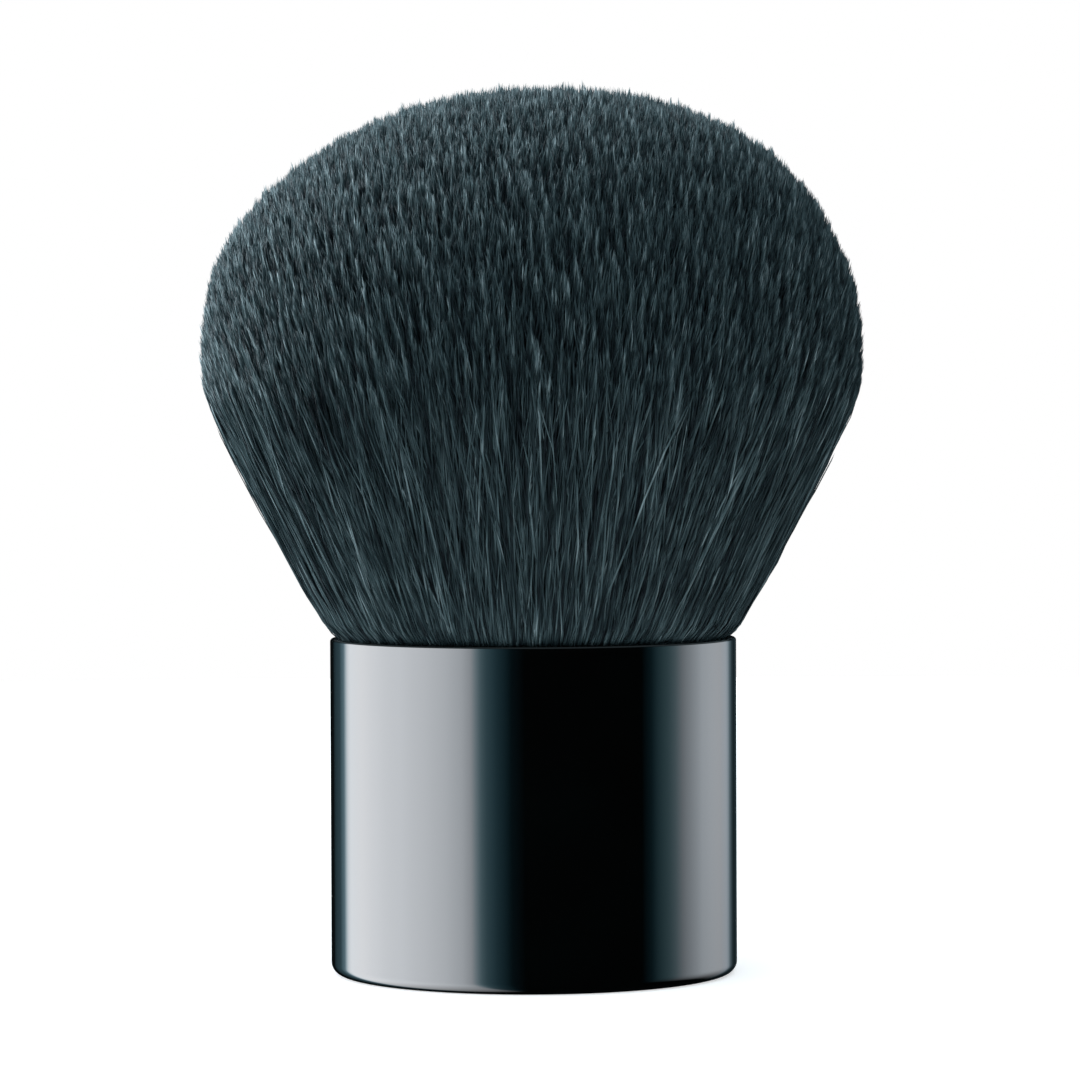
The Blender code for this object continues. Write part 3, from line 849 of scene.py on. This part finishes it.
# %% Wind the binding thread
THREAD_TURNS = 4
THREAD_STEPS = 1920
THREAD_SIDES = 12
PLIES = 3
PLY_TWIST_LENGTH = 2.6 * MM
PLY_DEPTH = 0.13
THREAD_RADIUS = THREAD_DIAMETER / 2
COIL_RADIUS = thread_high.x - THREAD_RADIUS
COIL_HEIGHT = thread_high.z - thread_low.z - THREAD_DIAMETER


def wound_thread():
    """A tube along a helix. Its section at angle s has the radius R (1 - d + d cos(3 (s - twist))).

    d is the depth of the grooves. Returns points, faces with two end caps, and each point's place on its ply.
    """
    share_along = np.linspace(0, 1, THREAD_STEPS + 1)[:, None]
    angle = 2 * np.pi * THREAD_TURNS * share_along
    twist = angle * COIL_RADIUS / PLY_TWIST_LENGTH * 2 * np.pi
    section = 2 * np.pi * np.arange(THREAD_SIDES) / THREAD_SIDES
    ply = np.cos(PLIES * (section - twist / PLIES))
    reach = THREAD_RADIUS * (1 - PLY_DEPTH + PLY_DEPTH * ply)
    radius = COIL_RADIUS + reach * np.cos(section)
    height = thread_low.z + THREAD_RADIUS + COIL_HEIGHT * share_along + reach * np.sin(section)
    points = np.stack([radius * np.cos(angle), radius * np.sin(angle), height], axis=-1).reshape(-1, 3)
    number = np.arange(len(points)).reshape(-1, THREAD_SIDES)
    closed = np.column_stack([number, number[:, 0]])
    return points, [grid_quads(closed), number[:1], number[-1:, ::-1]], (ply + 1) / 2


thread_points, thread_faces, ply_height = wound_thread()

# %% [markdown]
# A thread 318 mm long would be a hair's breadth on a flat picture for baking, so it is cut into strips.

# %% Lay the thread's surface flat
THREAD_STRIPS = 16
STRIPS_HEIGHT = 0.95
STRIP_FILL = 0.9
CAP_RADIUS = 0.02
CAP_PLACES = ((0.05, 0.975), (0.15, 0.975))


def thread_flat_picture():
    """The tube slit open and cut into strips that lie above each other, with the two end caps on top."""
    step, side = np.meshgrid(np.arange(THREAD_STEPS), np.arange(THREAD_SIDES), indexing="ij")
    per_strip = THREAD_STEPS // THREAD_STRIPS
    left = (step % per_strip) / per_strip
    bottom = STRIPS_HEIGHT * (step // per_strip + STRIP_FILL * side / THREAD_SIDES) / THREAD_STRIPS
    right = left + 1 / per_strip
    top = bottom + STRIPS_HEIGHT * STRIP_FILL / THREAD_SIDES / THREAD_STRIPS
    strips = np.stack([left, bottom, right, bottom, right, top, left, top], axis=-1)
    round_it = 2 * np.pi * np.arange(THREAD_SIDES) / THREAD_SIDES
    cap = np.column_stack([CAP_RADIUS * np.cos(round_it), CAP_RADIUS * np.sin(round_it)])
    return np.concatenate([strips.reshape(-1, 2), cap + CAP_PLACES[0], cap[::-1] + CAP_PLACES[1]])


thread = add_piece(
    "knot_thread", thread_points, thread_faces, nylon, {"ply": ply_height}, thread_flat_picture()
)
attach(thread, "root")
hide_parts("binding_thread")
print(f"thread {2 * math.pi * COIL_RADIUS * THREAD_TURNS / MM:.0f} mm long")

# %% [markdown]
# The insert is held down by a disc of foam tape. Foam that is cut with a die is pinched at its edge, so
# the disc is flat in the middle and its rim is round, with no sharp corner. Its profile is a
# superellipse.

# %% Cut the foam pad
PAD_EDGE_POWER = 24
PAD_RINGS = 32
PAD_STEPS = 96
FOAM_CELL = 0.35 * MM

pad_low, pad_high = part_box("base_pad")


def pad_profile():
    """From pole to pole by an angle s: radius R sin(s)^(2/p) and height h cos(s) about the middle."""
    angle = np.linspace(0, np.pi, PAD_RINGS + 1)
    radius = pad_high.x * np.abs(np.sin(angle)) ** (2 / PAD_EDGE_POWER)
    radius[[0, -1]] = 0.0
    middle, half = (pad_low.z + pad_high.z) / 2, (pad_high.z - pad_low.z) / 2
    return np.column_stack([radius, middle + half * np.cos(angle)])


foam = grained_material(
    "foam_tape",
    "ShaderNodeTexVoronoi",
    {"Scale": 1 / FOAM_CELL},
    stops=[(0.1, "#A8A49A"), (0.5, "#D3CFC4")],
    relief=(0.6, 0.1 * MM),
    output="Distance",
    roughness=0.95,
)
pad = add_piece("foam_pad", *turned_surface(pad_profile(), PAD_STEPS), foam)
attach(pad, "root")
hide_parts("base_pad")

# %% [markdown]
# ## The stage
#
# A product photograph like this one is lit by large soft boxes: a broad bright one at the left, which
# fades out towards the camera, and a narrower, dimmer one at the right and behind. Both are curved panels
# that glow by a number stored on their points, and carry on below the table, because the rounded foot
# mirrors what lies there. In a studio, black flags keep them off the hair. Light linking does the same
# here: the panels light the barrel alone.

# %% Sew the soft boxes
PANEL_RADIUS = 600 * MM
PANEL_CENTRE_HEIGHT = 15 * MM
PANEL_TOP = math.radians(15)
PANEL_FADE = math.radians(6)
PANEL_COLUMNS = 161
PANEL_ROWS = 25

mirror_group = bpy.data.collections.new("lit_by_soft_boxes")
mirror_group.objects.link(barrel)


def make_glow(name, strength, stops):
    """Light cloth over a lamp: the emission is the panel's glow times its strength, and its edges are cooler.

    stops colour the panel from its edge near the camera, 0, by its brightest place, 0.5, to its far edge, 1.
    """
    material = bpy.data.materials.new(name)
    material.use_nodes = True
    material.node_tree.nodes.clear()
    glow = add_node(material, "ShaderNodeAttribute", {"attribute_name": "glow"}).outputs["Fac"]
    power = add_node(material, "ShaderNodeMath", {"operation": "MULTIPLY", 1: strength}, {0: glow})
    across = add_node(material, "ShaderNodeAttribute", {"attribute_name": "across"}).outputs["Fac"]
    colour = add_node(material, "ShaderNodeValToRGB", {"stops": stops}, {"Fac": across})
    light = add_node(material, "ShaderNodeEmission", None, {"Color": colour, "Strength": power})
    add_node(material, "ShaderNodeOutputMaterial", None, {"Surface": light})
    return material


def add_soft_box(name, side, lowest, low_fade, stops, cloth):
    """Part of a ball round the brush. stops pairs an angle from the camera with a share of full glow.

    A point at angle a and elevation e is at (R cos e sin a, -R cos e cos a, R sin e) from the ball's middle.
    The glow fades to nothing at the panel's top, and over low_fade degrees towards its lowest elevation.
    """
    angles, shares = np.radians([stop[0] for stop in stops]), [stop[1] for stop in stops]
    columns = np.linspace(angles[0], angles[-1], PANEL_COLUMNS)
    rows = np.linspace(math.radians(lowest), PANEL_TOP, PANEL_ROWS)
    angle, elevation = np.meshgrid(columns, rows, indexing="ij")
    points = np.stack([
        side * PANEL_RADIUS * np.cos(elevation) * np.sin(angle),
        -PANEL_RADIUS * np.cos(elevation) * np.cos(angle),
        PANEL_CENTRE_HEIGHT + PANEL_RADIUS * np.sin(elevation),
    ], axis=-1)
    quads = grid_quads(np.arange(angle.size).reshape(angle.shape))
    full_glow = np.interp(angle, angles, shares)
    far_side = angle > angles[np.argmax(shares)]
    glow = full_glow * np.clip((PANEL_TOP - elevation) / PANEL_FADE, 0, 1)
    glow = glow * np.clip((elevation - rows[0]) / math.radians(low_fade), 0, 1)
    values = {"glow": glow, "across": np.where(far_side, 1 - full_glow / 2, full_glow / 2)}
    panel = add_piece(name, points.reshape(-1, 3), [quads], cloth, values)
    panel.visible_camera = False
    panel.visible_shadow = False
    panel.light_linking.receiver_collection = mirror_group
    return panel


# %% [markdown]
# The bands on the barrel come from how each panel's light rises and falls across it, so a list of angles
# says how bright it is there. A panel's edges are a little bluer, which gives each band a cool fringe.

# %% Hang the soft boxes
LEFT_STOPS = [
    (4, 0.0), (12, 0.010), (20, 0.06), (26, 0.12), (29, 0.19), (32, 0.35), (35, 0.54), (40, 0.71), (50, 0.86),
    (63, 0.96), (79, 1.0), (98, 0.875), (110, 0.735), (125, 0.505), (129, 0.365), (134, 0.085), (141, 0.022),
    (155, 0.003),
]
RIGHT_STOPS = [
    (62, 0.0), (69, 0.05), (73, 0.13), (81, 0.26), (86, 0.39), (95, 0.73), (101, 0.87), (109, 0.99),
    (118, 0.85), (131, 0.55), (139, 0.42), (143, 0.28), (146, 0.12), (151, 0.03), (157, 0.008), (168, 0.02),
]
LEFT_COLOURS = [
    (0.0, "#7FDFFF"), (0.075, "#B8EDFF"), (0.25, "#EDF6FF"), (0.5, "#F4F9FF"),
    (0.65, "#F8FBFF"), (0.80, "#F2F9FF"), (0.86, "#E7F7FF"), (0.92, "#D4F1FF"), (1.0, "#A6E7FF"),
]
RIGHT_COLOURS = [
    (0.0, "#7FDFFF"), (0.1, "#AFEFFF"), (0.3, "#E6F4FF"), (0.5, "#ECF6FF"),
    (0.71, "#F2F8FF"), (0.80, "#E6F3FF"), (0.90, "#D9F1FF"), (0.96, "#C8EEFF"), (1.0, "#B5EBFF"),
]
left_cloth = make_glow("left_cloth", strength=12.2, stops=LEFT_COLOURS)
right_cloth = make_glow("right_cloth", strength=4.4, stops=RIGHT_COLOURS)
add_soft_box("left_soft_box", side=-1, lowest=-86, low_fade=55, stops=LEFT_STOPS, cloth=left_cloth)
add_soft_box("right_soft_box", side=1, lowest=-34, low_fade=30, stops=RIGHT_STOPS, cloth=right_cloth)

# %% [markdown]
# The hair has the soft light of the room and one lamp behind its left shoulder, which gives the head a
# pale edge there. The lamp is linked to the hair alone, so it draws no spot on the barrel.

# %% Hang a lamp behind the left shoulder
LAMP_PLACE = (-460 * MM, 300 * MM, 350 * MM)
LAMP_WIDTH = 450 * MM
LAMP_HEIGHT = 650 * MM
LAMP_POWER = 13.5

hair_group = bpy.data.collections.new("lit_by_lamp")
for piece in (core, *hair_pieces):
    hair_group.objects.link(piece)
lamp_data = bpy.data.lights.new("shoulder_lamp", "AREA")
lamp_data.shape = "RECTANGLE"
lamp_data.size = LAMP_WIDTH
lamp_data.size_y = LAMP_HEIGHT
lamp_data.energy = LAMP_POWER
lamp_data.color = linear("#F2F9FF")[:3]
lamp = bpy.data.objects.new("shoulder_lamp", lamp_data)
lamp.location = LAMP_PLACE
lamp.light_linking.receiver_collection = hair_group
to_head = Vector((0, 0, RIM_Z + DOME_CENTRE_HEIGHT)) - Vector(LAMP_PLACE)
lamp.rotation_euler = to_head.to_track_quat("-Z", "Y").to_euler()
bpy.context.scene.collection.objects.link(lamp)
print(f"lamp {to_head.length / MM:.0f} mm from the head")

# %% [markdown]
# The brush stands on a light table of white acrylic, which glows as white as the backdrop and leaves only
# a faint shadow. Mirrored in the lacquer it would lift the blacks, so glossy rays don't see it.

# %% Lay the floor
FLOOR_RADIUS = 450 * MM
FLOOR_STEPS = 96
FLOOR_GAP = 0.02 * MM
FLOOR_GLOW = 0.56
MOTTLE_WIDTH = 25 * MM

acrylic = grained_material(
    "white_acrylic_table",
    "ShaderNodeTexNoise",
    {"Scale": 1 / MOTTLE_WIDTH, "Detail": 2.0},
    stops=[(0.3, "#F5F5F5"), (0.7, "#F8F8F8")],
    roughness=0.9,
)
lit_from_below = acrylic.node_tree.nodes["Principled BSDF"].inputs
lit_from_below["Emission Color"].default_value = linear("#FFFFFF")
lit_from_below["Emission Strength"].default_value = FLOOR_GLOW
floor_rim = FLOOR_RADIUS * np.exp(1j * (2 * np.pi * np.arange(FLOOR_STEPS) / FLOOR_STEPS))
floor_points = np.column_stack([floor_rim.real, floor_rim.imag, np.full(FLOOR_STEPS, -FLOOR_GAP)])
floor = add_piece("floor", floor_points, [np.arange(FLOOR_STEPS)[None]], acrylic)
floor.visible_glossy = False

# %% [markdown]
# The world is the room. The hair sees walls that are brightest above and to the left, and dim on the
# other side. What is mirrored in the lacquer sees black flags round the brush and a pale ceiling above
# them. The camera sees white paper.

# %% Fill the room with light
ROOM_KEY = (-0.60, -0.24, 0.76)
ROOM_STRENGTH = 1.72
DIM_SIDE_START = -0.3
DIM_SIDE_STRENGTH = 0.28
FLAG_TOP = 0.15
FLAG_GLOW = 0.01
CEILING_START = 0.45
CEILING_GLOW = 0.6

world = bpy.data.worlds.new("studio")
world.use_nodes = True
world.node_tree.nodes.clear()
path = add_node(world, "ShaderNodeLightPath")
direction = add_node(world, "ShaderNodeTexCoord").outputs["Generated"]
compass = add_node(world, "ShaderNodeSeparateXYZ", None, {"Vector": direction})
ceiling = add_node(
    world,
    "ShaderNodeMapRange",
    {"From Min": FLAG_TOP, "From Max": CEILING_START, "To Min": FLAG_GLOW, "To Max": CEILING_GLOW},
    {"Value": compass.outputs["Z"]}
)
towards_key = add_node(
    world, "ShaderNodeVectorMath", {"operation": "DOT_PRODUCT", 1: ROOM_KEY}, {0: direction}
).outputs["Value"]
walls = add_node(
    world,
    "ShaderNodeMapRange",
    {"From Min": DIM_SIDE_START, "From Max": 1.0, "To Min": DIM_SIDE_STRENGTH, "To Max": ROOM_STRENGTH},
    {"Value": towards_key}
)
room = add_node(world, "ShaderNodeBackground", {"Color": linear("#EAF7FF")}, {"Strength": walls})
flags = add_node(world, "ShaderNodeBackground", {"Color": linear("#C9E4EE")}, {"Strength": ceiling})
paper = add_node(world, "ShaderNodeBackground", {"Color": linear("#FFFFFF"), "Strength": 1.0})
lit = add_node(world, "ShaderNodeMixShader", None, {0: path.outputs["Is Glossy Ray"], 1: room, 2: flags})
seen = add_node(world, "ShaderNodeMixShader", None, {0: path.outputs["Is Camera Ray"], 1: lit, 2: paper})
add_node(world, "ShaderNodeOutputWorld", None, {"Surface": seen})
bpy.context.scene.world = world
bpy.context.scene.view_settings.view_transform = "Standard"
print(f"room from {DIM_SIDE_STRENGTH} on the dim side to {ROOM_STRENGTH} towards the key")

# %% [markdown]
# ## The pieces inside
#
# They are hidden in the finished brush, but they are real pieces and each has its own finish, so that the
# brush can be taken apart in a picture. Their CAD shapes are right and stay. The ring is bare rolled
# aluminium: a soft metal shine with fine lines round it. The glue is cured epoxy, amber and glossy, with
# small air bubbles.

# %% Rolled aluminium and epoxy
LINE_WIDTH = 0.12 * MM
BUBBLE_SPACING = 1.2 * MM

rolled_aluminium = grained_material(
    "rolled_aluminium",
    "ShaderNodeTexNoise",
    {"Scale": 1 / LINE_WIDTH, "Detail": 3.0},
    stops=[(0.3, "#D2D4D6"), (0.7, "#E2E4E5")],
    polish=(0.24, 0.38),
    stretch=(0.04, 0.04, 1.0),
    roughness=0.3,
    metallic=1.0,
)
amber_epoxy = grained_material(
    "amber_epoxy",
    "ShaderNodeTexVoronoi",
    {"Scale": 1 / BUBBLE_SPACING},
    stops=[(0.08, "#D9B374"), (0.16, "#9A6B2F"), (0.7, "#8A5A22")],
    relief=(0.3, 0.05 * MM),
    output="Distance",
    roughness=0.2,
    ior=1.55,
)

# %% [markdown]
# The insert is moulded ABS, dark grey with the grain of a spark-eroded mould. The ballast is turned steel
# under zinc, cool and bright. The plate is thin, so the lathe's rings show through. Blender's wave
# texture repeats every pi/10 units, which its scale allows for.

# %% Moulded plastic and zinc plate
GRAIN_WIDTH = 0.15 * MM
RING_SPACING = 0.15 * math.pi * MM

moulded_abs = grained_material(
    "moulded_grey_abs",
    "ShaderNodeTexNoise",
    {"Scale": 1 / GRAIN_WIDTH, "Detail": 2.0},
    stops=[(0.3, "#55575A"), (0.7, "#5F6164")],
    relief=(0.25, 0.02 * MM),
    roughness=0.55,
    ior=1.53,
)
zinc_plate = grained_material(
    "zinc_plated_steel",
    "ShaderNodeTexWave",
    {"wave_type": "RINGS", "rings_direction": "Z", "Scale": math.pi / 10 / RING_SPACING, "Distortion": 0.3},
    stops=[(0.0, "#B9BEC4"), (1.0, "#CCD1D6")],
    relief=(0.15, 0.01 * MM),
    roughness=0.3,
    metallic=1.0,
)

# %% Dress the pieces inside
hidden_finishes = {
    "knot_ferrule": rolled_aluminium,
    "resin_plug": amber_epoxy,
    "core_insert": moulded_abs,
    "ballast_weight": zinc_plate,
}
for node, finish in hidden_finishes.items():
    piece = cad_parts[node]
    piece.data.materials.clear()
    piece.data.materials.append(finish)
    print(f"{node}: {finish.name}")
